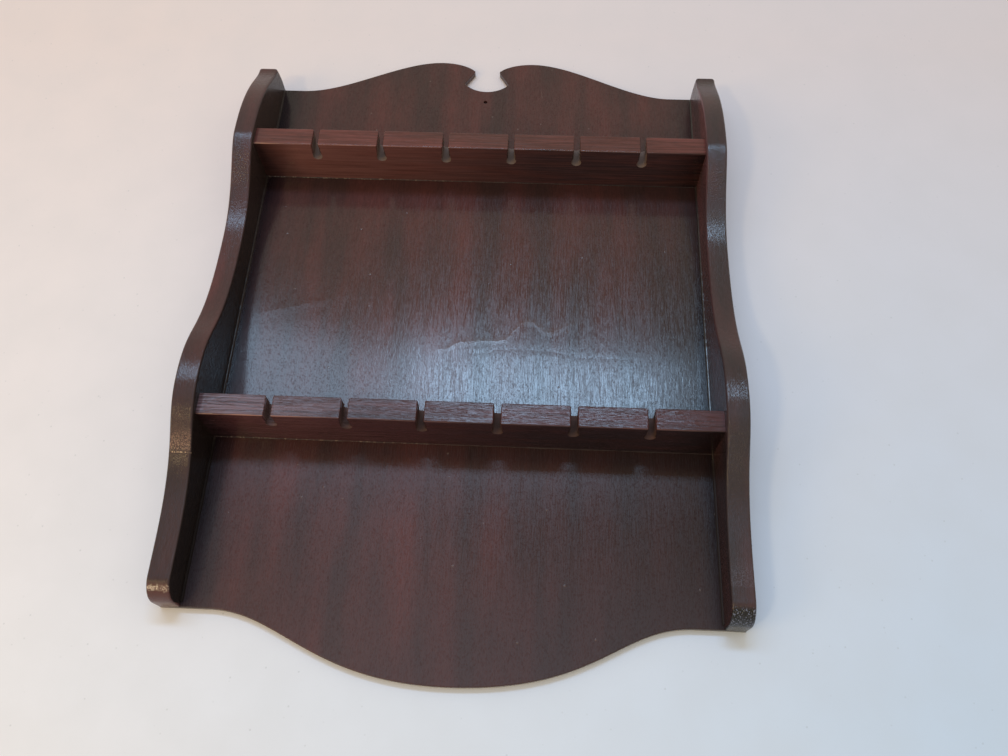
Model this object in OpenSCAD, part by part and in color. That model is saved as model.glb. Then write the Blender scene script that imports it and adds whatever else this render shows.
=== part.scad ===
// Wall rack for twelve collector's spoons: a scalloped back panel in two
// rebated sides, and two slotted rails between them, glued and pinned.
// The origin is where the hanging hole's axis meets the wall. The wall is
// the plane y = 0, the rack's front faces -y, and z points up.

/* [Overall] */
// Clear width between the two sides
inner_w = 216; // [196:1:300]
// Thickness of the sides and of the rails
board_t = 9.5; // [7:0.5:14]

/* [Back panel] */
// Thickness of the back panel
panel_t = 3.2; // [2.5:0.1:6]
// Height of the back panel along the sides
panel_h = 272.5; // [245:0.5:340]
// Height of the two crests above the straight shoulders
crest_h = 22.2; // [18:0.2:32]
// Drop of the belly below the panel's bottom corners
belly_h = 25.7; // [10:0.2:40]
// Width of each straight shoulder and bottom corner in front of the sides
shoulder_w = 11; // [6:0.5:20]
// Distance of each crest from the panel's centre line
crest_x = 24.4; // [20:0.2:32]

/* [Hanging notch and hole] */
// Width of the notch's mouth, between the hook tips
notch_mouth_w = 13.2; // [9:0.2:17]
// Width of the notch where it is widest
notch_w = 23.6; // [20:0.2:30]
// Rise of the notch's rounded floor from its middle to the widest place
notch_rise = 5.2; // [3:0.1:6]
// Height of the notch's floor above the shoulders
notch_floor_h = 2.2; // [0.5:0.1:4]
// Height of the hook tips below the crests
hook_drop = 6.2; // [4.5:0.1:8]
// Diameter of the hanging hole
hang_hole_d = 2; // [1.5:0.1:4]
// Drop of the hanging hole below the shoulders
hang_hole_drop = 5.2; // [4:0.1:14]

/* [Sides] */
// Depth of the waist between the rails, in front of the panel
waist_d = 14.8; // [9:0.2:18]
// Drop of the waist below the upper rail
waist_drop = 46; // [38:0.5:60]
// Depth of the side below the lower rail, in front of the panel
foot_d = 15.6; // [9:0.2:20]
// Height of the foot's narrowest place above the side's bottom
foot_h = 22; // [12:0.2:26]
// Depth of the side's top end, in front of the panel
top_d = 15; // [9:0.2:20]
// Rise of the side's top end above the panel's shoulders
top_proud = 0.4; // [0.2:0.1:3]
// Rise of the top end's crown at its middle
top_crown = 1.6; // [0.5:0.1:3]
// Reach of the upper lobe past the upper rail's front
upper_lobe_proud = 3.6; // [1:0.1:8]
// Height of the upper lobe's peak above the upper rail's underside
upper_lobe_rise = 5; // [0:0.5:9]
// Reach of the lower lobe past the lower rail's front
lower_lobe_proud = 5.6; // [1:0.1:10]
// Height of the lower lobe's peak above the lower rail's underside
lower_lobe_rise = 15; // [0:0.5:18]
// Radius of the side's bottom front corner
foot_r = 9; // [2:0.5:10]
// Width of the rebate that holds the panel's edge
rebate_w = 4.7; // [3.6:0.1:6]

/* [Rails] */
// Depth of the rails, in front of the panel
rail_d = 25; // [21:0.5:36]
// Drop from the shoulders to the upper rail's underside
upper_rail_drop = 57.6; // [45:0.1:70]
// Height between the two rails' undersides
rail_gap = 141.5; // [125:0.5:160]

/* [Spoon slots] */
// Number of slots in a rail
slot_count = 6; // [4:1:6]
// Distance between neighbouring slots
slot_pitch = 31.5; // [26:0.5:34]
// Width of a slot's straight kerf
slot_w = 2.9; // [2:0.1:3.6]
// Diameter of the round eye at a slot's end
slot_eye_d = 4.8; // [4:0.1:7]
// Depth of a slot, from the rail's front to the far side of its eye
slot_d = 10.8; // [8:0.2:12]

/* [Brads] */
// Diameter of a brad's shank
brad_d = 1.2; // [1:0.1:1.6]
// Diameter of a brad's head
brad_head_d = 2.2; // [1.8:0.1:3]
// Thickness of a brad's head
brad_head_h = 0.6; // [0.4:0.1:1]
// Depth of a brad's head below the wood's surface
brad_sink = 0.3; // [0.1:0.1:0.6]
// Length from the surface to the tip, through a side into a rail
side_brad_l = 20; // [17:0.5:22]
// Length from the surface to the tip, through the panel
panel_brad_l = 12; // [9:0.5:14]
// Distance of the side brads from a rail's front and back
rail_brad_inset = 6.5; // [4:0.5:8]
// Distance of the first panel brad from a side's ends
side_brad_inset = 20; // [12:1:28]
// Number of brads that hold the panel to one side
panel_side_brads = 4; // [3:1:5]

/* [Hidden] */
// Facets of a full circle, and steps of a long and of a short curve
$fn = 48;
long_steps = 24;
short_steps = 8;
// How far a cut runs past the face that it opens
over = 1;

// Heights of the shoulders, the bottom corners and the rails' undersides
shoulder_z = hang_hole_drop;
bottom_z = shoulder_z - panel_h;
crest_z = shoulder_z + crest_h;
belly_z = bottom_z - belly_h;
upper_z = shoulder_z - upper_rail_drop;
lower_z = upper_z - rail_gap;
// Half widths: inside the sides, to the bottom of the rebates, and outside
inner_x = inner_w / 2;
panel_x = inner_x + rebate_w;
outer_x = inner_x + board_t;

// Fullness of the S curves: the share of a stretch that each end's tangent
// runs along it before it bends away
crest_full = [0.32, 0.32];
belly_left_full = [0.555, 0.3];
belly_right_full = [0.615, 0.31];
top_full = [0.18, 0.63];
waist_upper_full = [0.25, 0.52];
waist_lower_full = [0.72, 0.37];
foot_full = [0.34, 0.65];

// Radius of the hook tips, and the directions in which their round starts
// and ends, seen from its centre
hook_tip_r = 0.9;
hook_tip_arc = [140, 215];
// How far the outline's tangents run at a crest and at a hook's tip
crest_run = 8;
hook_run = 4;

wood = "#5a3328";
panel_wood = "#4e2f28";
steel = "#8c8c8a";

// Points of a cubic curve through a and d, with b and c as its handles
function bend(a, b, c, d, steps) = [
    for (i = [0 : steps])
        let (t = i / steps, s = 1 - t)
            s * s * s * a + 3 * s * s * t * b + 3 * s * t * t * c + t * t * t * d
];

// An S curve whose ends run along x: from a to b, full = share at each end
function s_curve_x(a, b, full, steps = long_steps) =
    let (run = b.x - a.x)
        bend(a, [a.x + full[0] * run, a.y], [b.x - full[1] * run, b.y], b, steps);

// An S curve whose ends run along y
function s_curve_y(a, b, full, steps = long_steps) =
    let (run = b.y - a.y)
        bend(a, [a.x, a.y + full[0] * run], [b.x, b.y - full[1] * run], b, steps);

// Points of an arc about a centre
function arc(centre, r, from, to, steps = short_steps) = [
    for (i = [0 : steps])
        let (a = from + (to - from) * i / steps)
            centre + r * [cos(a), sin(a)]
];

// Radius and half angle of the arc that rises by rise over a half chord
function bow_r(half_chord, rise) = (half_chord * half_chord + rise * rise) / (2 * rise);
function bow_angle(half_chord, rise) = asin(half_chord / bow_r(half_chord, rise));

// Half of the panel's outline, drawn on the right, in x and z, from the belly's
// lowest point round the corner, shoulder, crest and hook to the notch's floor
function panel_half(belly_full) =
    let (
        floor_z = shoulder_z + notch_floor_h,
        floor_r = bow_r(notch_w / 2, notch_rise),
        floor_angle = bow_angle(notch_w / 2, notch_rise),
        tip = [notch_mouth_w / 2 + hook_tip_r, crest_z - hook_drop],
        tip_from = hook_tip_arc[0],
        tip_start = tip + hook_tip_r * [cos(tip_from), sin(tip_from)],
        side_x = inner_x - shoulder_w
    )
    concat(
        s_curve_x([0, belly_z], [side_x, bottom_z], belly_full),
        [[panel_x, bottom_z], [panel_x, shoulder_z]],
        s_curve_x([side_x, shoulder_z], [crest_x, crest_z], crest_full),
        bend(
            [crest_x, crest_z],
            [crest_x - crest_run, crest_z],
            tip_start + hook_run * [sin(tip_from), -cos(tip_from)],
            tip_start,
            short_steps
        ),
        arc(tip, hook_tip_r, tip_from, hook_tip_arc[1]),
        arc([0, floor_z + floor_r], floor_r, floor_angle - 90, -90)
    );

// Brad with its head up, driven down from a surface at z = 0
module brad(length) {
    translate([0, 0, -length])
        cylinder(d = brad_d, h = length - brad_sink - brad_head_h / 2);
    translate([0, 0, -brad_sink - brad_head_h])
        cylinder(d = brad_head_d, h = brad_head_h);
}

// Hole that a brad fills, open above its sunk head
module brad_hole(length) {
    brad(length);
    translate([0, 0, -brad_sink - brad_head_h])
        cylinder(d = brad_head_d, h = brad_head_h + brad_sink + over);
}

// Places of the brads through a side (-1 left, 1 right) into a rail
module at_rail_end(rail_z, side) {
    for (d = [rail_brad_inset, rail_d - rail_brad_inset])
        translate([side * outer_x, -panel_t - d, rail_z + board_t / 2])
            rotate([0, side * 90, 0])
                children();
}

// Places of the brads through the panel into a rail, between the slots
module at_rail_back(rail_z) {
    for (i = [-1 : 1])
        translate([i * 2 * slot_pitch, 0, rail_z + board_t / 2])
            rotate([-90, 0, 0])
                children();
}

// Places of the brads through the panel into a side's rebate
module at_side_back(side) {
    step = (panel_h - 2 * side_brad_inset) / (panel_side_brads - 1);
    for (i = [0 : panel_side_brads - 1])
        translate([side * (inner_x + rebate_w / 2), 0, bottom_z + side_brad_inset + i * step])
            rotate([-90, 0, 0])
                children();
}

module back_panel() {
    right = panel_half(belly_right_full);
    half = panel_half(belly_left_full);
    left = [for (i = [len(half) - 2 : -1 : 1]) [-half[i].x, half[i].y]];
    color(panel_wood)
        difference() {
            rotate([90, 0, 0])
                linear_extrude(height = panel_t)
                    polygon(concat(right, left));
            rotate([90, 0, 0])
                translate([0, 0, -over])
                    cylinder(d = hang_hole_d, h = panel_t + 2 * over);
            at_rail_back(upper_z) brad_hole(panel_brad_l);
            at_rail_back(lower_z) brad_hole(panel_brad_l);
            at_side_back(-1) brad_hole(panel_brad_l);
            at_side_back(1) brad_hole(panel_brad_l);
        }
}

// Outline of a side in y and z: the flat back, the crowned top end, the
// two lobes with the waist between them, and the rounded foot
function side_outline() =
    let (
        front = -panel_t,
        top_z = shoulder_z + top_proud,
        top_half = (top_d + panel_t) / 2,
        top_r = bow_r(top_half, top_crown),
        top_angle = bow_angle(top_half, top_crown),
        upper = [front - rail_d - upper_lobe_proud, upper_z + upper_lobe_rise],
        waist = [front - waist_d, upper_z - waist_drop],
        lower = [front - rail_d - lower_lobe_proud, lower_z + lower_lobe_rise],
        foot = [front - foot_d, bottom_z + foot_h],
        top = [front - top_d, top_z]
    )
    concat(
        [[0, bottom_z]],
        arc([-top_half, top_z + top_crown - top_r], top_r, 90 - top_angle, 90 + top_angle),
        s_curve_y(top, upper, top_full),
        s_curve_y(upper, waist, waist_upper_full),
        s_curve_y(waist, lower, waist_lower_full),
        s_curve_y(lower, foot, foot_full),
        arc([foot.x + foot_r, bottom_z + foot_r], foot_r, 180, 270)
    );

// The right side; the left one is its mirror image
module side_board() {
    difference() {
        translate([inner_x, 0, 0])
            rotate([90, 0, 90])
                linear_extrude(height = board_t)
                    polygon(side_outline());
        translate([inner_x - over, -panel_t, bottom_z - over])
            cube([rebate_w + over, panel_t + over, panel_h + over]);
        at_rail_end(upper_z, 1) brad_hole(side_brad_l);
        at_rail_end(lower_z, 1) brad_hole(side_brad_l);
        at_side_back(1) brad_hole(panel_brad_l);
    }
}

module right_side() {
    color(wood) side_board();
}

module left_side() {
    color(wood) mirror([1, 0, 0]) side_board();
}

// Keyhole slot through a rail, open at the rail's front
module spoon_slot() {
    eye_y = slot_eye_d / 2 - slot_d;
    translate([-slot_w / 2, eye_y, -over])
        cube([slot_w, over - eye_y, board_t + 2 * over]);
    translate([0, eye_y, -over])
        cylinder(d = slot_eye_d, h = board_t + 2 * over);
}

// A rail with its underside at rail_z
module rail(rail_z) {
    color(wood)
        difference() {
            translate([-inner_x, -panel_t - rail_d, rail_z])
                cube([inner_w, rail_d, board_t]);
            for (i = [0 : slot_count - 1])
                translate([(i - (slot_count - 1) / 2) * slot_pitch, -panel_t - rail_d, rail_z])
                    rotate([0, 0, 180])
                        spoon_slot();
            at_rail_end(rail_z, -1) brad_hole(side_brad_l);
            at_rail_end(rail_z, 1) brad_hole(side_brad_l);
            at_rail_back(rail_z) brad_hole(panel_brad_l);
        }
}

module upper_rail() {
    rail(upper_z);
}

module lower_rail() {
    rail(lower_z);
}

module upper_rail_left_brads() {
    color(steel) at_rail_end(upper_z, -1) brad(side_brad_l);
}

module upper_rail_right_brads() {
    color(steel) at_rail_end(upper_z, 1) brad(side_brad_l);
}

module lower_rail_left_brads() {
    color(steel) at_rail_end(lower_z, -1) brad(side_brad_l);
}

module lower_rail_right_brads() {
    color(steel) at_rail_end(lower_z, 1) brad(side_brad_l);
}

module upper_rail_back_brads() {
    color(steel) at_rail_back(upper_z) brad(panel_brad_l);
}

module lower_rail_back_brads() {
    color(steel) at_rail_back(lower_z) brad(panel_brad_l);
}

module left_side_back_brads() {
    color(steel) at_side_back(-1) brad(panel_brad_l);
}

module right_side_back_brads() {
    color(steel) at_side_back(1) brad(panel_brad_l);
}

back_panel();
left_side();
right_side();
upper_rail();
lower_rail();
upper_rail_left_brads();
upper_rail_right_brads();
lower_rail_left_brads();
lower_rail_right_brads();
upper_rail_back_brads();
lower_rail_back_brads();
left_side_back_brads();
right_side_back_brads();
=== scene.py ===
"""Wall rack for twelve collector's spoons, in dark varnished mahogany.

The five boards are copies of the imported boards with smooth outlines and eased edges. Beads of glue
run along their joints. Everything is in metres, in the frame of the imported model: z up, the front
towards -y, and the table that the rack lies on behind it, at y = 0.
"""

import math

import bmesh
import bpy
from mathutils import Matrix, Vector


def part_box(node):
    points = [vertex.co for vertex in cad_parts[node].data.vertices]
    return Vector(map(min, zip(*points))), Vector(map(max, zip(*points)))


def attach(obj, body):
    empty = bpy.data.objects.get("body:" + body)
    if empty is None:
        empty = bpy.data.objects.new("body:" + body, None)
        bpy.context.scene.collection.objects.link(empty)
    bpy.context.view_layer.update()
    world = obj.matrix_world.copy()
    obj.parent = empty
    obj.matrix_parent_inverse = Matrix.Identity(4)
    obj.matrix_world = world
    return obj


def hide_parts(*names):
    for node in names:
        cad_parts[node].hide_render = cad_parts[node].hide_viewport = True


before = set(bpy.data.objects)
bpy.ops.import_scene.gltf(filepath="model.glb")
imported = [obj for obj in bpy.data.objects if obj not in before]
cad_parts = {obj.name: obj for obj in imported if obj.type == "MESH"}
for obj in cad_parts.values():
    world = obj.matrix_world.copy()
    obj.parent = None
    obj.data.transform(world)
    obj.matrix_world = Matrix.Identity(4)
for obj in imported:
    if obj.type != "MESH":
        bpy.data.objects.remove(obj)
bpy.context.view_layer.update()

MM = 0.001
X, Y, Z = 0, 1, 2

# Roundings of the boards' edges, the step of their smooth curves, and the radii of the glue beads
SIDE_EASE = 1.0 * MM
SIDE_TOP_R = 1.9 * MM
PANEL_EASE = 0.4 * MM
NOTCH_CORNER_R = 0.9 * MM
RAIL_EASE = 0.5 * MM
SLOT_CORNER_R = 0.9 * MM
CURVE_STEP = 1.2 * MM
RAIL_BEAD_R = 0.5 * MM
SIDE_BEAD_R = 0.9 * MM

# Points nearer than this are one
SAME = 0.001 * MM
# Where an edge lies: within HAIR of a face, in the notch, in a slot's mouth or in a side's rebate
HAIR = 0.1 * MM
NOTCH_REACH = 20 * MM
SLOT_MOUTH = 6 * MM
REBATE_WIDTH = 5 * MM
REBATE_DEPTH = 3.5 * MM
# A facet shorter than this is one of a round hole
HOLE_FACET = 0.45 * MM
# The sides' back edges get this share of their rounding, and a side's top end gets all of it from
# this far in front of the wall
BACK_SHARE = 0.1
TOP_ROUND_FROM = 14 * MM

# Lines raised in the panel's veneer, x and z in millimetres
VENEER_WAVE = (
    (-17, -149), (-10, -147), (-5, -144), (6, -142.6), (14, -142), (18, -140), (22, -135), (27, -132),
    (32, -135), (35.5, -137), (40, -136), (45, -133), (51, -131),
)
VENEER_LIFT = ((-104, -133), (-80, -126.7), (-47, -117))
VENEER_DIP = (
    (-9, -150.3), (4, -149.3), (11, -148), (18, -146.8), (36, -147), (43, -148), (52, -149.6), (79, -150),
)
VARNISH_SCRATCH = ((28.8, 9.2), (29.4, 6), (30, 2.8))

# Height of the line scored across the left side's front edge
SCORE_Z = -209.4 * MM
# Height of the row of painted glints across its foot, which wanders by 1.5 mm about this
GLINT_ROW_Z = -261.5 * MM

# Heights of the rails' undersides, below which painted shade darkens the panel
RAIL_UNDERSIDES = (-52 * MM, -194 * MM)

# How rough the varnish is where it fills the grain, and the specular level of a clear film of it
FILLED_ROUGHNESS = 0.13
FULL_GLOSS = 0.5

# Where the camera stands, what it looks at, and how far it is turned
CAMERA_PLACE = Vector((0.0293, -0.3524, -0.3276))
CAMERA_AIM = Vector((0.0169, -0.0032, -0.1611))
CAMERA_ROLL = math.radians(2.81)
CAMERA_LENS_MM = 30.86
SENSOR_MM = 36


def linear(hex_colour):
    """Turns an sRGB hex colour such as "#5a3328" into linear red, green, blue and alpha."""
    def channel(i):
        value = int(hex_colour[i:i + 2], 16) / 255
        return value / 12.92 if value <= 0.04045 else ((value + 0.055) / 1.055) ** 2.4
    return (channel(1), channel(3), channel(5), 1)


def add(tree, kind, *values, curve=None, **settings):
    """Adds a node, sets its properties, and gives each input a value or a link. The inputs come in
    order, or in one dict by name or number. A node given as an input stands for its result, and a
    string is an sRGB colour. curve gives a float curve's points."""
    made = tree.nodes.new(kind if "Node" in kind else "ShaderNode" + kind)
    for name, value in settings.items():
        setattr(made, name, value)
    inputs = values[0] if values and isinstance(values[0], dict) else dict(enumerate(values))
    for name, value in inputs.items():
        if isinstance(value, bpy.types.Node):
            value = next(output for output in value.outputs if output.enabled)
        if isinstance(value, bpy.types.NodeSocket):
            tree.links.new(value, made.inputs[name])
        else:
            made.inputs[name].default_value = linear(value) if isinstance(value, str) else value
    if curve:
        points = made.mapping.curves[0].points
        while len(points) < len(curve):
            points.new(1, 1)
        for point, place in zip(points, curve):
            point.location = place
        made.mapping.update()
    return made


def new_material(name):
    """An empty material and its tree."""
    material = bpy.data.materials.new(name)
    material.use_nodes = True
    tree = material.node_tree
    tree.nodes.clear()
    return material, tree


def split(tree, which):
    """X, Y and Z of a point's place on the rack, for "Object", or of where its surface faces, for
    "Normal"."""
    return add(tree, "SeparateXYZ", add(tree, "TexCoord").outputs[which]).outputs


def layer(tree, base, over, *shares, blend="MIX"):
    """Lays one colour over another, as far as the product of the shares, or wholly without any."""
    share, *others = shares or (1.0,)
    for other in others:
        share = add(tree, "Math", share, other, operation="MULTIPLY")
    return add(tree, "Mix", {0: share, 6: base, 7: over}, data_type="RGBA", blend_type=blend)


def pattern(tree, size_mm, place=(0, 0, 0), detail=2, kind="TexNoise"):
    """Noise or cells whose features measure size_mm along x, y and z, on the piece's own
    coordinates."""
    source = add(tree, "TexCoord").outputs["Object"]
    scale = [1 / (MM * side) for side in size_mm]
    vector = add(tree, "Mapping", {"Vector": source, "Location": place, "Scale": scale})
    return add(tree, kind, {"Vector": vector, "Scale": 1.0, "Detail": detail})


def along_grain(axis, across, along):
    """Size of a pattern's features that run along one axis of a board."""
    size = [across, across, across]
    size[axis] = along
    return size


def line_across(tree, points, width_mm, fade_mm):
    """1 on a line drawn across the panel through x, z points, falling to 0 beside it and at its ends."""
    source = add(tree, "TexCoord").outputs["Object"]
    wobble = add(tree, "TexNoise", {"Vector": source, "Scale": 1 / (4 * MM), "Detail": 1})
    # The line wanders by up to 0.8 mm, in waves of 4 mm
    source = add(
        tree, "VectorMath",
        add(tree, "VectorMath", wobble.outputs["Color"], (0.5, 0.5, 0.5), operation="SUBTRACT"),
        (1.6 * MM,) * 3, source, operation="MULTIPLY_ADD",
    )
    part = add(tree, "SeparateXYZ", source).outputs
    left, right = points[0][0], points[-1][0]
    low, high = min(z for x, z in points), max(z for x, z in points)
    along = add(tree, "MapRange", part["X"], left * MM, right * MM)
    places = [((x - left) / (right - left), (z - low) / (high - low)) for x, z in points]
    level = add(tree, "FloatCurve", {"Value": along}, curve=places)
    middle = add(tree, "MapRange", level, 0, 1, low * MM, high * MM)
    beside = add(
        tree, "Math", add(tree, "Math", part["Z"], middle, operation="SUBTRACT"), operation="ABSOLUTE",
    )
    near = add(
        tree, "Math", add(tree, "MapRange", beside, 0, width_mm * MM, 1, 0), 1.5, operation="POWER",
    )
    start = add(tree, "MapRange", part["X"], left * MM, (left + fade_mm) * MM)
    end = add(tree, "MapRange", part["X"], right * MM, (right - fade_mm) * MM)
    return add(
        tree, "Math", near, add(tree, "Math", start, end, operation="MULTIPLY"), operation="MULTIPLY",
    )


def veneer_marks(tree, colour, height):
    """The panel's own marks: painted shade makes it darker and greyer at the lower right and darkens it
    under the rails and along the sides, and a painted sheen makes it paler and greyer towards the bottom.
    On the front the veneer has lifted in wavy ridges with a dip between them, with a painted highlight
    along the wavy one, and there is a pale scratch. Grains of dust are caught in the varnish, and its film
    has pinholes."""
    part = split(tree, "Object")
    facing = split(tree, "Normal")
    front = add(tree, "MapRange", facing["Y"], 0.3, 0)
    # Painted shade: darker and greyer towards the lower right
    right = add(tree, "MapRange", part["X"], -20 * MM, 100 * MM)
    low = add(tree, "MapRange", part["Z"], -40 * MM, -150 * MM, 0, 0.8)
    lower_right = add(tree, "Math", right, low, operation="MULTIPLY")
    colour = layer(tree, colour, "#241d1d", lower_right)

    # Painted shade in the corners along the sides, and below the rails
    painted_light_share = add(
        tree, "Math", add(tree, "MapRange", part["X"], -94 * MM, -106 * MM, 0, 0.8),
        add(tree, "MapRange", part["X"], 100 * MM, 107 * MM, 0, 0.6), operation="MAXIMUM",
    )
    for rail_z in RAIL_UNDERSIDES:
        under = add(
            tree, "Math", add(tree, "MapRange", part["Z"], rail_z - 14 * MM, rail_z - 5 * MM),
            add(tree, "MapRange", part["Z"], rail_z + 1 * MM, rail_z, 0, 0.32), operation="MULTIPLY",
        )
        painted_light_share = add(tree, "Math", painted_light_share, under, operation="MAXIMUM")
    colour = layer(tree, colour, "#111118", painted_light_share, front)
    # Painted sheen, paler and greyer towards the bottom
    low_sheen = add(tree, "MapRange", part["Z"], -225 * MM, -290 * MM, 0, 0.3)
    colour = layer(tree, colour, "#5c4c50", low_sheen)

    # The ridges and the dip: width, fade at the ends and rise, in millimetres
    for points, width, fade, rise in (
        (VENEER_LIFT, 5, 25, 0.03), (VENEER_DIP, 2.4, 12, -0.006), (VENEER_WAVE, 3.0, 8, 0.018),
    ):
        line = add(tree, "Math", line_across(tree, points, width, fade), front, operation="MULTIPLY")
        height = add(tree, "Math", line, rise, height, operation="MULTIPLY_ADD")
    # Painted highlight along the wavy ridge
    colour = layer(tree, colour, "#8c7a72", line, 0.08)
    scratch = add(
        tree, "Math", line_across(tree, VARNISH_SCRATCH, 0.9, 0.4), front, operation="MULTIPLY",
    )
    dust = pattern(tree, (11, 11, 11), (5, 2, 9), kind="TexVoronoi", detail=0)
    dust = add(tree, "MapRange", dust, 0.03, 0.05, 1, 0)
    pale = add(
        tree, "Math", add(tree, "Math", scratch, 0.6, operation="MULTIPLY"),
        add(tree, "Math", dust, 0.25, operation="MULTIPLY"), operation="MAXIMUM",
    )
    height = add(tree, "Math", dust, 0.04, height, operation="MULTIPLY_ADD")

    # The film has pinholes, is thinner at the lower right, and dull in the bay below the lower rail
    pinholes = add(
        tree, "MapRange", pattern(tree, (0.5, 0.5, 0.9), (2, 6, 4)), 0.5, 0.68, 1, 0.45,
    )
    film = add(tree, "Math", pinholes, add(tree, "MapRange", lower_right, 0, 1, 1, 0.8), operation="MULTIPLY")
    lower = add(tree, "MapRange", part["Z"], -185 * MM, -200 * MM)
    dull = add(
        tree, "Math", lower, add(tree, "MapRange", part["X"], -40 * MM, 20 * MM, 0.15, 0.08),
        operation="MULTIPLY",
    )
    film = add(tree, "Math", film, add(tree, "MapRange", lower, 0, 1, 1, 0.64), operation="MULTIPLY")
    return layer(tree, colour, "#8c7a72", pale), height, film, dull


def rail_marks(tree, colour, height):
    """The rails' own marks: the lower rail is greyer than the upper one, with a painted sheen in streaks
    at its left end. Painted light makes their undersides lighter and orange at the left, and painted shade
    darkens them towards the right and at both ends. A painted highlight runs along their lower front
    edges, strongest at the left, and the saw cuts are bare and dusty."""
    part = split(tree, "Object")
    facing = split(tree, "Normal")
    forward, facing = facing["Y"], facing["Z"]
    lower = add(tree, "MapRange", part["Z"], -100 * MM, -120 * MM)
    tint = layer(tree, "#ffffff", "#c6c8d0", lower)
    colour = layer(tree, colour, tint, blend="MULTIPLY")
    streak = pattern(tree, (25, 1, 0.7), (2, 5, 1))
    colour = layer(tree, colour, add(tree, "MapRange", streak, 0.35, 0.65, 0.75, 1.2), blend="MULTIPLY")
    # Painted sheen in streaks on the lower rail's front, strongest at the left
    pale = add(tree, "MapRange", part["X"], -20 * MM, -90 * MM, 0, 0.5)
    colour = layer(tree, colour, "#917680", lower, pale, add(tree, "MapRange", streak, 0.4, 0.6, 0.1, 1))

    # The undersides: painted light makes them lighter and orange at the left, and painted shade darkens
    # them towards the right and at both ends
    under = add(tree, "MapRange", facing, -0.3, -0.8)
    stain = layer(tree, "#865856", "#5f3940", lower)
    dark = layer(tree, "#2e2a34", "#23242e", lower)
    ends = add(
        tree, "MapRange", add(tree, "Math", part["X"], operation="ABSOLUTE"), 88 * MM, 106 * MM, 0, 0.8,
    )
    shade_to_right = add(tree, "MapRange", part["X"], -90 * MM, 30 * MM)
    # Painted shade towards the right of the undersides
    stain = layer(tree, stain, layer(tree, colour, dark, 0.7), shade_to_right)
    stain = layer(tree, stain, add(tree, "MapRange", streak, 0.35, 0.65, 0.88, 1.1), blend="MULTIPLY")
    patch = add(tree, "MapRange", pattern(tree, (30, 4, 4), (7, 3, 1), detail=3), 0.3, 0.6, 0.6, 1)
    # Painted shade at both ends of the undersides
    stain = layer(tree, stain, "#161012", ends)
    height = add(tree, "Math", height, add(tree, "MapRange", lower, 0, 1, 0.3, 1), operation="MULTIPLY")
    colour = layer(tree, colour, stain, under, patch)

    # Painted highlight along the lower front edges, strongest towards the left
    edge = (add(tree, "MapRange", facing, -0.2, -0.4), add(tree, "MapRange", forward, -0.2, -0.4))
    rubbed_and_highlit = add(tree, "MapRange", part["X"], -40 * MM, -100 * MM, 0.1, 0.7)
    colour = layer(tree, colour, "#c89484", *edge, rubbed_and_highlit, add(tree, "MapRange", streak, 0.4, 0.6))

    # The walls of the saw cuts, and the film, which is thin on them, on the lower rail and at the right
    level = add(tree, "MapRange", add(tree, "Math", facing, operation="ABSOLUTE"), 0.5, 0.3)
    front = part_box("upper_rail")[0].y
    kerf = add(
        tree, "Math", level, add(tree, "MapRange", part["Y"], front + 1.2 * MM, front + 2.2 * MM),
        operation="MULTIPLY",
    )
    film = add(
        tree, "Math", add(tree, "MapRange", lower, 0, 1, 1, 0.65),
        add(tree, "MapRange", kerf, 0, 1, 1, 0.4), operation="MULTIPLY",
    )
    film = add(
        tree, "Math", film, add(tree, "MapRange", part["X"], 20 * MM, 50 * MM, 1, 0.85),
        operation="MULTIPLY",
    )
    dust = add(tree, "MapRange", lower, 0, 1, 0.7, 0.25)
    return layer(tree, colour, "#84736a", kerf, dust), height, film, kerf


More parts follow.
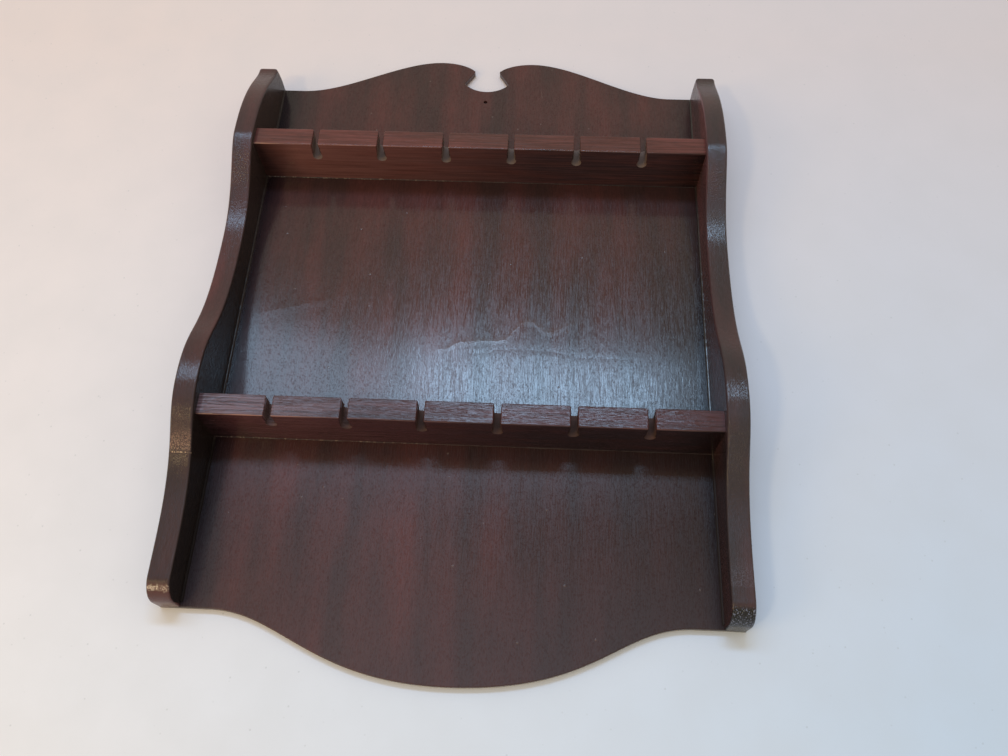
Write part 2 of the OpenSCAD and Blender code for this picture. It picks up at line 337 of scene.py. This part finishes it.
def side_marks(tree, colour, height):
    """The sides' own marks: the left is redder than the right, most of all above its middle. Painted shade
    darkens the left side's inner face and both inner faces below the lower rail, painted light makes the
    inner faces lighter towards the top, and the film is dull on both inner faces. Pits show where the
    curved front edge cuts across the fibres, and the right foot is dark there, with pale painted glints in
    its pits. Patches of pale dots on the front edges are painted glints. A line is scored across the left
    one, dotted with painted glints, and a row of painted glints runs across its foot."""
    part = split(tree, "Object")
    facing = split(tree, "Normal")
    right = add(tree, "MapRange", part["X"], -50 * MM, 50 * MM)
    left = add(tree, "Math", 1.0, right, operation="SUBTRACT")
    lower = add(tree, "MapRange", part["Z"], -150 * MM, -185 * MM)
    tint = layer(tree, "#eee2f6", "#bcccde", lower)
    colour = layer(tree, colour, layer(tree, tint, "#c8dcf4", right), blend="MULTIPLY")
    # Painted shade on the left side's inner face
    colour = layer(tree, colour, "#2a201e", add(tree, "MapRange", facing["X"], 0.5, 0.9), left)
    # Painted light: the inner faces grow lighter towards the top
    top = add(tree, "MapRange", part["Z"], -130 * MM, -40 * MM, 1.1, 2.3)
    inside = add(tree, "MapRange", add(tree, "Math", facing["X"], operation="ABSOLUTE"), 0.5, 0.9)
    colour = layer(tree, colour, layer(tree, colour, top, blend="MULTIPLY"), inside)
    # Painted shade on the inner faces below the lower rail
    dark = add(tree, "MapRange", part["Z"], -194 * MM, -200 * MM, 0, 0.4)
    colour = layer(tree, colour, "#1c1a1b", inside, dark)

    # The feet, where the front edge faces down, and patches of pale dots that are painted glints
    down = add(tree, "MapRange", facing["Z"], -0.25, -0.42)
    pits = pattern(tree, (0.55, 0.55, 0.7), (1, 8, 3))
    specks = add(tree, "MapRange", pattern(tree, (0.36, 0.36, 0.36), (6, 2, 5), detail=1), 0.5, 0.6)
    foot = add(tree, "MapRange", part["Z"], -257 * MM, -260 * MM)
    colour = layer(tree, colour, "#62302b", down, foot, left, 0.6)
    colour = layer(tree, colour, "#161314", down, foot, right)
    forward = add(tree, "MapRange", facing["Y"], -0.6, -0.8)
    # Patches of pale dots on the front edges, painted glints
    for low, high, where, shade, share in (
        (-209, -199, left, "#d6a48c", 0.4),
        (-254, -242, right, "#7d7686", 0.25),
        (-95, -76, right, "#7d7a80", 0.2),
    ):
        above = add(tree, "MapRange", part["Z"], low * MM, (low + 1) * MM)
        below = add(tree, "MapRange", part["Z"], high * MM, (high - 6) * MM, 0, share)
        colour = layer(tree, colour, shade, above, below, forward, where, specks)
    # Pale painted glints in the pits of the right foot
    painted_light_share = add(tree, "MapRange", pits, 0.57, 0.67)
    colour = layer(tree, colour, "#8488a2", down, foot, right, painted_light_share)

    # The pits, the scored line with its painted glints, and the row of painted glints across the left foot
    cut = add(tree, "Math", down, 0.15, operation="MAXIMUM")
    pits = add(tree, "Math", cut, pits, operation="MULTIPLY")
    height = add(tree, "Math", pits, 0.33, height, operation="MULTIPLY_ADD")
    away = add(tree, "Math", part["Z"], SCORE_Z, operation="SUBTRACT")
    away = add(tree, "Math", away, operation="ABSOLUTE")
    scored = add(tree, "MapRange", away, 0.1 * MM, 0.35 * MM, 1, 0)
    dots = add(tree, "MapRange", pattern(tree, (0.5, 2, 2), (4, 4, 4), detail=1), 0.42, 0.58)
    slope = add(tree, "MapRange", facing["Y"], -0.3, -0.6)
    # Painted glints in dots along the scored line
    colour = layer(tree, colour, "#c9a184", scored, left, slope, dots)
    # A row of painted glints across the left foot
    zigzag = pattern(tree, (1.4, 1.4, 1.4), (7, 1, 2), detail=1)
    away = add(tree, "Math", zigzag, 3 * MM, part["Z"], operation="MULTIPLY_ADD")
    away = add(tree, "Math", away, GLINT_ROW_Z, operation="SUBTRACT")
    away = add(tree, "Math", away, operation="ABSOLUTE")
    glint_row = add(tree, "MapRange", away, 0.5 * MM, 1.2 * MM, 1, 0)
    slope = add(tree, "MapRange", facing["Y"], -0.5, -0.8)
    colour = layer(tree, colour, "#f4dcc4", glint_row, left, specks, slope)
    return colour, height, add(tree, "MapRange", inside, 0, 1, 1, 0.22), 0.0


def varnished_mahogany(name, axis, stain, grain_mm, ridge_mm, wave_mm, left_open, seed, marks, wear_and_highlight=None):
    """Stained mahogany under old gloss varnish: streaks of red and grey-brown run along the grain, open
    pores are short dark dashes, and the grain's ridges comb what the film mirrors. left_open is how much
    of the grain the varnish has left open at the left, and the colour for the edges shows in patches where
    an edge has been rubbed; on the rails it is also a painted highlight."""
    material, tree = new_material(name)
    # Where in the noise this wood is cut from
    place = (seed, seed * 0.7, seed * 1.3)

    # Streaks of stain 13 mm wide, and fine short ones of 0.8 mm
    broad = pattern(tree, along_grain(axis, 13, 90), place, detail=3)
    fine = pattern(tree, along_grain(axis, 0.8, 4), place, detail=3)
    cloud = pattern(tree, (38, 38, 38), place)
    # Real pores are 0.2 mm wide; these are 0.3 mm, so that they show
    pores = pattern(tree, along_grain(axis, 0.3, 4), place, detail=1)

    tone = add(tree, "MapRange", broad, 0.36, 0.64)
    red, brown, shade = stain
    colour = layer(tree, red, brown, tone)
    colour = layer(tree, colour, shade, add(tree, "MapRange", cloud, 0.4, 0.75, 0, 0.45))
    streak = add(tree, "MapRange", fine, 0.3, 0.7, 0.88, 1.1)
    colour = layer(tree, colour, streak, blend="MULTIPLY")
    pore = add(tree, "MapRange", pores, 0.52, 0.68)
    colour = layer(tree, colour, "#1c1110", pore, 0.15)

    # Heights in millimetres: pores, the grain's ridges, and the board's slow waves
    ridge_width, ridge_length = ridge_mm
    short = pattern(tree, along_grain(axis, ridge_width, ridge_length), place)
    ridges = pattern(tree, along_grain(axis, ridge_width, 3 * ridge_length), place)
    ridges = add(tree, "Math", ridges, short, operation="ADD")
    ridges = add(tree, "Math", ridges, 0.5, operation="MULTIPLY")
    wave = pattern(tree, along_grain(axis, 16, 40), place, detail=1)
    unfilled = add(tree, "MapRange", split(tree, "Object")["X"], -70 * MM, 0, left_open, 1)
    relief = add(tree, "Math", pore, -0.5, ridges, operation="MULTIPLY_ADD")
    relief = add(tree, "Math", relief, unfilled, operation="MULTIPLY")
    height = add(tree, "Math", relief, grain_mm, operation="MULTIPLY")
    height = add(tree, "Math", wave, wave_mm, height, operation="MULTIPLY_ADD")
    if wear_and_highlight:
        rubbed_and_highlit = add(tree, "MapRange", pattern(tree, (3, 3, 3), place, detail=3), 0.48, 0.66)
        colour = layer(tree, colour, wear_and_highlight, rubbed_and_highlit)
        height = add(tree, "Math", rubbed_and_highlit, 0.03, height, operation="MULTIPLY_ADD")
    colour, height, film, dull = marks(tree, colour, height)
    bump = add(tree, "Bump", {"Strength": 1.0, "Distance": MM, "Height": height})

    # The film is dull where it has sunk between the ridges, and even where it fills the grain
    sunk = add(tree, "MapRange", ridges, 0.58, 0.42, 0.08, 0.26)
    sunk = add(tree, "Math", sunk, FILLED_ROUGHNESS, operation="SUBTRACT")
    roughness = add(tree, "Math", sunk, unfilled, FILLED_ROUGHNESS, operation="MULTIPLY_ADD")
    roughness = add(tree, "Math", roughness, dull, operation="ADD")
    shader = add(tree, "BsdfPrincipled", {
        "Base Color": colour,
        "Roughness": roughness,
        "IOR": 1.5,
        "Specular IOR Level": add(tree, "Math", film, FULL_GLOSS, operation="MULTIPLY"),
        "Normal": bump,
    })
    add(tree, "OutputMaterial", shader)
    return material


def dried_glue(name, dark, light, pale_dust_and_highlight, shine):
    """Hide glue squeezed out of the joints and varnished over, smooth and shiny, but dull below the lower
    rail, where painted shade darkens it; it is also darker towards the right. The share given after its
    colours is how much of it is dotted pale, with dust and a painted highlight, most at the left, and
    shine is its specular level at the left and at the right."""
    material, tree = new_material(name)
    cloud = pattern(tree, (4, 4, 4))
    crumb = pattern(tree, (0.9, 0.9, 0.9), (3, 1, 4), detail=1)
    colour = layer(tree, dark, light, cloud)
    part = split(tree, "Object")
    # Pale dots of dust and painted highlight, most at the left
    left = add(tree, "MapRange", part["X"], 0, -90 * MM, 0.1, 1)
    colour = layer(tree, colour, "#a58d7d", add(tree, "MapRange", crumb, 0.55, 0.65, 0, pale_dust_and_highlight), left)
    # Painted shade below the lower rail
    below = add(tree, "MapRange", part["Z"], -195 * MM, -197 * MM)
    shade_share = add(tree, "MapRange", part["X"], -80 * MM, 80 * MM, 0.7, 0.9)
    colour = layer(tree, colour, "#161212", shade_share, below)
    fade = add(tree, "MapRange", part["X"], -20 * MM, 80 * MM, 0, 0.7)
    colour = layer(tree, colour, "#2a2326", fade)
    clear = add(tree, "MapRange", part["X"], -80 * MM, 80 * MM, *shine)
    dull = add(tree, "MapRange", part["Z"], -195 * MM, -200 * MM, 1, 0.3)
    shader = add(tree, "BsdfPrincipled", {
        "Base Color": colour,
        "Roughness": add(tree, "MapRange", part["Z"], -195 * MM, -200 * MM, 0.17, 0.5),
        "IOR": 1.5,
        "Specular IOR Level": add(tree, "Math", clear, dull, operation="MULTIPLY"),
    })
    add(tree, "OutputMaterial", shader)
    return material


def brad_steel():
    """Bright drawn steel wire gone dull, with brown stain from the varnish on the heads."""
    material, tree = new_material("brad_steel")
    stain = pattern(tree, (0.8, 0.8, 0.8), detail=3)
    colour = layer(tree, "#8d8a86", "#4a3930", add(tree, "MapRange", stain, 0.4, 0.6))
    shader = add(tree, "BsdfPrincipled", {
        "Base Color": colour,
        "Metallic": 1.0,
        "Roughness": add(tree, "MapRange", stain, 0.3, 0.7, 0.35, 0.6),
    })
    add(tree, "OutputMaterial", shader)
    return material


def laminate():
    """White laminate table top with faint grey specks; painted light makes it fade from warm at the upper
    left to cool at the lower right. From behind it is clear, so that the rack's back can be seen."""
    material, tree = new_material("laminate_table")
    part = split(tree, "Object")
    # Painted light: warm at the upper left, cooler towards the lower right
    across = add(tree, "MapRange", part["X"], -200 * MM, 200 * MM)
    down = add(tree, "MapRange", part["Z"], 50 * MM, -300 * MM)
    upper = layer(tree, "#f0dcd8", "#e5d8dc", across)
    lower = layer(tree, "#f6f2fa", "#d3e2fa", across)
    colour = layer(tree, upper, lower, down)
    cloud = pattern(tree, (25, 25, 25), detail=3)
    colour = layer(tree, colour, "#c9c8cc", add(tree, "MapRange", cloud, 0.35, 0.7, 0, 0.1))
    speck = pattern(tree, (5, 5, 5), kind="TexVoronoi", detail=0)
    few = add(tree, "MapRange", pattern(tree, (9, 9, 9), (4, 4, 4), detail=1), 0.45, 0.6)
    colour = layer(tree, colour, "#8f939b", few, add(tree, "MapRange", speck, 0.05, 0.1, 0.22, 0))
    shader = add(tree, "BsdfPrincipled", {"Base Color": colour, "Roughness": 0.5, "IOR": 1.45})
    # A ray that starts within 1.5 mm of the table is one from the rack's own back
    geometry = add(tree, "NewGeometry")
    path = add(tree, "LightPath")
    near = add(tree, "Math", path.outputs["Ray Length"], 1.5 * MM, operation="LESS_THAN")
    not_seen = add(tree, "Math", 1.0, path.outputs["Is Camera Ray"], operation="SUBTRACT")
    near = add(tree, "Math", near, not_seen, operation="MULTIPLY")
    clear = add(tree, "Math", near, geometry.outputs["Backfacing"], operation="MAXIMUM")
    gap = add(tree, "BsdfTransparent")
    add(tree, "OutputMaterial", add(tree, "MixShader", clear, shader, gap))
    return material


def set_materials(piece, *materials):
    """Gives a piece its materials in order."""
    piece.data.materials.clear()
    for material in materials:
        piece.data.materials.append(material)


def neighbour_across(wall, edge):
    """The face on the other side of an edge."""
    return next((face for face in edge.link_faces if face != wall), None)


def is_flat(face, axis):
    """Whether a face looks straight along the axis, as a board's broad faces do."""
    return abs(face.normal[axis]) > 0.999


def meeting_direction(one, other):
    """Direction of the outline where two of its chords meet: along the longer one, if they differ
    much, because a straight stretch stays straight, and otherwise between the two."""
    if other is None or one.length > 2.5 * other.length:
        return one.normalized()
    if other.length > 2.5 * one.length:
        return other.normalized()
    return (one.normalized() * other.length + other.normalized() * one.length).normalized()


def bowed_points(before, start, end, after, count):
    """Points of the smooth curve through four outline points, between the middle two."""
    chord = end - start
    leave = meeting_direction(chord, None if before is None else start - before) * chord.length
    arrive = meeting_direction(chord, None if after is None else after - end) * chord.length
    points = []
    for i in range(1, count + 1):
        t = i / (count + 1)
        points.append(
            (2 * t ** 3 - 3 * t ** 2 + 1) * start + (t ** 3 - 2 * t ** 2 + t) * leave
            + (3 * t ** 2 - 2 * t ** 3) * end + (t ** 3 - t ** 2) * arrive
        )
    return points


def smooth_outline(mesh, axis, step):
    """Splits the facets of a board's curved walls and bows them, so that the outline runs smoothly.
    The walls stand along the axis, and a wall's neighbours give the curve its direction."""
    soft = math.radians(25)
    longest = 18 * MM

    def curved_neighbour(wall, edge):
        other = neighbour_across(wall, edge)
        if other is None or is_flat(other, axis) or len(other.verts) != 4:
            return None
        return other if other.normal.angle(wall.normal) < soft else None

    plans = []
    for wall in mesh.faces:
        if is_flat(wall, axis) or len(wall.verts) != 4 or abs(wall.normal[axis]) > 0.01:
            continue
        rims = [e for e in wall.edges if abs(e.verts[0].co[axis] - e.verts[1].co[axis]) < SAME]
        posts = [e for e in wall.edges if e not in rims]
        if len(rims) != 2 or not step < rims[0].calc_length() < longest:
            continue
        others = [curved_neighbour(wall, post) for post in posts]
        if others == [None, None]:
            continue
        ends = []
        for post, other in zip(posts, others):
            level = {round(v.co[axis], 7): v for v in post.verts}
            beyond = None
            if other is not None:
                far = next(e for e in other.edges if not set(e.verts) & set(post.verts))
                beyond = far.verts[0].co.copy()
                beyond[axis] = 0
            ends.append((level, beyond))
        plans.append((wall, rims, ends))

    for wall, rims, ((start, before), (end, after)) in plans:
        flat = [next(iter(level.values())).co.copy() for level in (start, end)]
        for point in flat:
            point[axis] = 0
        count = int((flat[1] - flat[0]).length / step)
        bowed = bowed_points(before, flat[0], flat[1], after, count)
        rows = []
        for rim in rims:
            level = round(rim.verts[0].co[axis], 7)
            vert, last, row, edge = start[level], end[level], [], rim
            for i, point in enumerate(bowed):
                new_vert = bmesh.utils.edge_split(edge, vert, 1 / (len(bowed) - i + 1))[1]
                new_vert.co = point
                new_vert.co[axis] = vert.co[axis]
                row.append(new_vert)
                edge = next(e for e in new_vert.link_edges if e.other_vert(new_vert) == last)
                vert = new_vert
            rows.append(row)
        face = wall
        for one, two in zip(*rows):
            face = next(f for f in one.link_faces if f in two.link_faces)
            bmesh.utils.face_split(face, one, two)
    mesh.normal_update()


def eased_board(node, axis, ease, rounding):
    """A copy of a packed board with smooth curves and rounded edges. rounding gives an edge's share
    of the ease: 0 inside a joint and round small holes."""
    mesh = bmesh.new()
    mesh.from_mesh(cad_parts[node].data)
    bmesh.ops.remove_doubles(mesh, verts=mesh.verts, dist=SAME)
    bmesh.ops.dissolve_limit(mesh, angle_limit=math.radians(0.1), verts=mesh.verts, edges=mesh.edges)
    mesh.normal_update()
    smooth_outline(mesh, axis, CURVE_STEP)
    weight = mesh.edges.layers.float.new("bevel_weight_edge")
    for edge in mesh.edges:
        if len(edge.link_faces) == 2 and edge.calc_face_angle() > math.radians(30):
            edge.smooth = False
            edge[weight] = rounding(edge)
    data = bpy.data.meshes.new(node + "_eased")
    mesh.to_mesh(data)
    mesh.free()
    rough = bpy.data.objects.new(node + "_eased", data)
    bpy.context.scene.collection.objects.link(rough)
    bevel = rough.modifiers.new("ease", "BEVEL")
    bevel.limit_method = "WEIGHT"
    bevel.width = ease
    bevel.segments = 3
    bevel.harden_normals = True
    bevel.material = 1
    bevel.use_clamp_overlap = False
    for face in data.polygons:
        face.use_smooth = True
    # One material slot for the faces, and one for the eased edges
    data.materials.append(None)
    data.materials.append(None)
    bpy.context.view_layer.update()
    baked = bpy.data.meshes.new_from_object(rough.evaluated_get(bpy.context.evaluated_depsgraph_get()))
    # Where roundings meet, a corner may come out a hair behind the board
    for vertex in baked.vertices:
        vertex.co.y = min(vertex.co.y, 0)
    rough.modifiers.clear()
    rough.data = baked
    rough.name = node + "_wood"
    return rough


def hole_rim(edge):
    """Whether an edge is a short facet of a round hole."""
    return edge.calc_length() < HOLE_FACET


def build_boards():
    """The five boards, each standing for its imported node."""
    panel_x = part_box("back_panel")[1].x
    side_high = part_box("left_side")[1]
    rail_low, rail_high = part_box("upper_rail")
    inner_x = rail_high.x

    def panel_rounding(edge):
        middle = (edge.verts[0].co + edge.verts[1].co) / 2
        if hole_rim(edge) or abs(middle.x) > panel_x - HAIR:
            return 0
        along = (edge.verts[1].co - edge.verts[0].co).normalized()
        notch_corner = abs(along.y) > 0.99 and abs(middle.x) < NOTCH_REACH
        return 1 if notch_corner else PANEL_EASE / NOTCH_CORNER_R

    def side_rounding(edge):
        one, other = (v.co for v in edge.verts)
        in_rebate = all(abs(p.x) < inner_x + REBATE_WIDTH and p.y > -REBATE_DEPTH for p in (one, other))
        if hole_rim(edge) or in_rebate:
            return 0
        if min(one.y, other.y) > -HAIR:
            return BACK_SHARE
        # Below the top end, and across the front of it, the edges are eased a little
        across = abs(one.x - other.x) > MM
        if min(one.z, other.z) < side_high.z - 2 * MM or (across and one.y < -10 * MM):
            return SIDE_EASE / SIDE_TOP_R
        # Only a sliver is left above the rebate, so the top's rounding dies away towards the back
        return min(1, max(BACK_SHARE, -(one.y + other.y) / 2 / TOP_ROUND_FROM))

    def rail_rounding(edge):
        middle = (edge.verts[0].co + edge.verts[1].co) / 2
        if hole_rim(edge) or abs(middle.x) > inner_x - HAIR or middle.y > rail_high.y - HAIR:
            return 0
        along = (edge.verts[1].co - edge.verts[0].co).normalized()
        slot_corner = abs(along.y) > 0.99 and abs(middle.y - rail_low.y) < SLOT_MOUTH
        return 1 if slot_corner else RAIL_EASE / SLOT_CORNER_R

    veneer = {
        "axis": Z, "stain": ("#5c3432", "#462f2e", "#39292a"), "grain_mm": 0.013,
        "ridge_mm": (0.19, 4), "wave_mm": 0.02, "left_open": 0.3, "seed": 3, "marks": veneer_marks,
    }
    side = {
        "axis": Z, "stain": ("#603835", "#4a3432", "#3c2c2b"), "grain_mm": 0.08,
        "ridge_mm": (0.22, 3.4), "wave_mm": 0.08, "left_open": 1, "seed": 11, "marks": side_marks,
    }
    rail = {
        "axis": X, "stain": ("#6e3b37", "#5a3531", "#482b29"), "grain_mm": 0.052,
        "ridge_mm": (0.34, 9), "wave_mm": 0.04, "left_open": 1, "seed": 23, "marks": rail_marks,
    }
    panel_wood, side_wood, rail_wood = [
        (varnished_mahogany(face, **wood), varnished_mahogany(edge, wear_and_highlight=wear_and_highlight, **wood))
        for face, edge, wear_and_highlight, wood in (
            ("mahogany_veneer", "veneer_edge", "#4a352b", veneer),
            ("mahogany_side", "rubbed_side_edge", "#55392e", side),
            # The rails' pale rubbed edges are also a painted highlight
            ("mahogany_rail", "rubbed_and_highlit_rail_edge", "#8a6152", rail),
        )
    ]

    boards = (
        ("back_panel", Y, NOTCH_CORNER_R, panel_rounding, panel_wood, "panel_veneer"),
        ("left_side", X, SIDE_TOP_R, side_rounding, side_wood, "side_wood"),
        ("right_side", X, SIDE_TOP_R, side_rounding, side_wood, "side_wood"),
        ("upper_rail", Z, SLOT_CORNER_R, rail_rounding, rail_wood, "rail_wood"),
        ("lower_rail", Z, SLOT_CORNER_R, rail_rounding, rail_wood, "rail_wood"),
    )
    for node, axis, ease, rounding, wood, slot in boards:
        board = eased_board(node, axis, ease, rounding)
        set_materials(board, *wood)
        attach(board, "root")
        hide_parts(node)


def bead_maker():
    """Geometry Nodes that turn the joints' lines into uneven round beads of glue."""
    tree = bpy.data.node_groups.new("glue_bead", "GeometryNodeTree")
    for name, kind in (
        ("Joint", "NodeSocketGeometry"), ("Radius", "NodeSocketFloat"), ("Thinnest", "NodeSocketFloat"),
        ("Step", "NodeSocketFloat"), ("Lump size", "NodeSocketFloat"), ("Seed", "NodeSocketFloat"),
        ("Glue", "NodeSocketMaterial"),
    ):
        tree.interface.new_socket(name, in_out="INPUT", socket_type=kind)
    tree.interface.new_socket("Bead", in_out="OUTPUT", socket_type="NodeSocketGeometry")
    given = add(tree, "NodeGroupInput").outputs
    line = add(tree, "GeometryNodeMeshToCurve", given["Joint"])
    line = add(tree, "GeometryNodeResampleCurve", {"Curve": line, "Length": given["Step"]}, mode="LENGTH")
    lumps = add(tree, "TexNoise", {
        "Scale": add(tree, "Math", 1, given["Lump size"], operation="DIVIDE"),
        "W": given["Seed"],
        "Detail": 2,
    }, noise_dimensions="4D")
    width = add(tree, "MapRange", lumps, 0.35, 0.65, given["Thinnest"], 1.0)
    line = add(tree, "GeometryNodeSetCurveRadius", {"Curve": line, "Radius": width})
    ring = add(tree, "GeometryNodeCurvePrimitiveCircle", {"Resolution": 12, "Radius": given["Radius"]})
    bead = add(tree, "GeometryNodeCurveToMesh", {
        "Curve": line,
        "Profile Curve": ring,
        "Scale": width,
        "Fill Caps": True,
    })
    bead = add(tree, "GeometryNodeSetShadeSmooth", bead)
    bead = add(tree, "GeometryNodeRealizeInstances", bead)
    bead = add(tree, "GeometryNodeSetMaterial", {"Geometry": bead, "Material": given["Glue"]})
    add(tree, "NodeGroupOutput", bead)
    return tree


def glue_bead(name, tree, lines, glue, radius, thinnest, seed):
    """One piece of beads along the given lines, each a start and an end. A bead thins down to the
    given share of its radius."""
    data = bpy.data.meshes.new(name)
    points = [point for line in lines for point in line]
    data.from_pydata(points, [(i, i + 1) for i in range(0, len(points), 2)], [])
    bead = bpy.data.objects.new(name, data)
    bpy.context.scene.collection.objects.link(bead)
    maker = bead.modifiers.new("bead", "NODES")
    maker.node_group = tree
    values = {
        "Radius": radius, "Thinnest": thinnest, "Step": 0.7 * MM, "Lump size": 8 * MM, "Seed": seed,
        "Glue": glue,
    }
    for item in tree.interface.items_tree:
        if item.name in values:
            maker[item.identifier] = values[item.name]
    bpy.context.view_layer.update()
    made = bpy.data.meshes.new_from_object(bead.evaluated_get(bpy.context.evaluated_depsgraph_get()))
    bead.modifiers.clear()
    bead.data = made
    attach(bead, "root")


def glue_joints():
    """Beads along each joint that can be seen: rails to panel, and sides to panel."""
    tree = bead_maker()
    pale_glue = dried_glue("dusty_highlit_glue", "#33282a", "#5a4a48", pale_dust_and_highlight=0.7, shine=(0.3, 0.12))
    dark_glue = dried_glue("varnished_glue", "#2c2422", "#3c3230", pale_dust_and_highlight=0.05, shine=(0.12, 0.6))
    panel_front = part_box("back_panel")[0].y
    upper_low, upper_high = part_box("upper_rail")
    lower_low, lower_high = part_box("lower_rail")

    for seed, (name, low, high) in enumerate((
        ("upper_rail_glue", upper_low, upper_high), ("lower_rail_glue", lower_low, lower_high),
    )):
        lines = [((low.x, panel_front, z), (high.x, panel_front, z)) for z in (low.z, high.z)]
        glue_bead(
            name, tree, lines, pale_glue, radius=RAIL_BEAD_R, thinnest=0.35, seed=seed * 7.3,
        )

    # The sides' beads stop a little inside the ends of the sides
    side_low, side_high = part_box("left_side")
    joint_low, joint_high = side_low.z + 2 * MM, side_high.z - 3 * MM
    stops = (joint_high, upper_high.z, upper_low.z, lower_high.z, lower_low.z, joint_low)
    for seed, (name, x) in enumerate((("left_side_glue", upper_low.x), ("right_side_glue", upper_high.x))):
        lines = [((x, panel_front, stops[i]), (x, panel_front, stops[i + 1])) for i in (0, 2, 4)]
        glue_bead(
            name, tree, lines, dark_glue, radius=SIDE_BEAD_R, thinnest=0.8,
            seed=31 + seed * 5.7,
        )


def dress_brads():
    """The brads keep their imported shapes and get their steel."""
    steel = brad_steel()
    for name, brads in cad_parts.items():
        if name.endswith("_brads"):
            set_materials(brads, steel)


def build_table():
    """The table that the rack lies on, a hair behind its back."""
    reach = 0.9
    gap = 0.3 * MM
    data = bpy.data.meshes.new("table")
    corners = [(-reach, gap, -reach), (reach, gap, -reach), (reach, gap, reach), (-reach, gap, reach)]
    data.from_pydata(corners, [], [(0, 1, 2, 3)])
    table = bpy.data.objects.new("table", data)
    bpy.context.scene.collection.objects.link(table)
    set_materials(table, laminate())


def area_light(name, place, aim, size, colour, power, roll=0.0):
    """A soft rectangular light that faces aim."""
    data = bpy.data.lights.new(name, "AREA")
    data.shape = "RECTANGLE"
    data.size, data.size_y = size
    data.color = linear(colour)[:3]
    data.energy = power
    lamp = bpy.data.objects.new(name, data)
    turn = (Vector(aim) - Vector(place)).to_track_quat("-Z", "Y").to_matrix().to_4x4()
    lamp.matrix_world = Matrix.Translation(place) @ turn @ Matrix.Rotation(roll, 4, "Z")
    bpy.context.scene.collection.objects.link(lamp)


def light_scene():
    """Daylight from a window beyond the rack's top, brightest in the middle, the room's paler
    brightness below it, a small pale lamp at the lower left with a soft orange glow beside it, and an
    even fill all round."""
    middle = (0, 0, -0.15)
    tilt = math.radians(-4)
    area_light("window", (0.055, -1.2, 0.38), middle, (0.51, 0.15), "#b4dbff", 4.25, tilt)
    area_light("window_left", (-0.475, -1.2, 0.375), middle, (0.55, 0.24), "#b4dbff", 2.4, tilt)
    area_light("room", (0, -1.3, -0.15), middle, (0.9, 0.35), "#8fd0ff", 0.9)
    area_light("pale_lamp", (-0.57, -1.0, -0.73), middle, (0.1, 0.1), "#ffe2a8", 2.0)
    area_light("orange_glow", (-1.0, -0.7, -0.65), middle, (0.4, 0.4), "#ffcc6c", 2.2)
    world = bpy.data.worlds.new("room")
    world.use_nodes = True
    tree = world.node_tree
    tree.nodes.clear()
    sky = add(tree, "Background", {"Color": "#fff6de", "Strength": 0.55})
    add(tree, "OutputWorld", sky)
    bpy.context.scene.world = world


def place_camera():
    """The camera looks up at the rack from below its middle, a little turned."""
    data = bpy.data.cameras.new("camera")
    data.lens = CAMERA_LENS_MM
    data.sensor_width = SENSOR_MM
    data.sensor_fit = "HORIZONTAL"
    camera = bpy.data.objects.new("camera", data)
    turn = (CAMERA_AIM - CAMERA_PLACE).to_track_quat("-Z", "Y").to_matrix().to_4x4()
    camera.matrix_world = Matrix.Translation(CAMERA_PLACE) @ turn @ Matrix.Rotation(CAMERA_ROLL, 4, "Z")
    bpy.context.scene.collection.objects.link(camera)
    bpy.context.scene.camera = camera


bpy.context.scene.view_settings.view_transform = "Standard"
place_camera()
light_scene()
build_table()
build_boards()
glue_joints()
dress_brads()
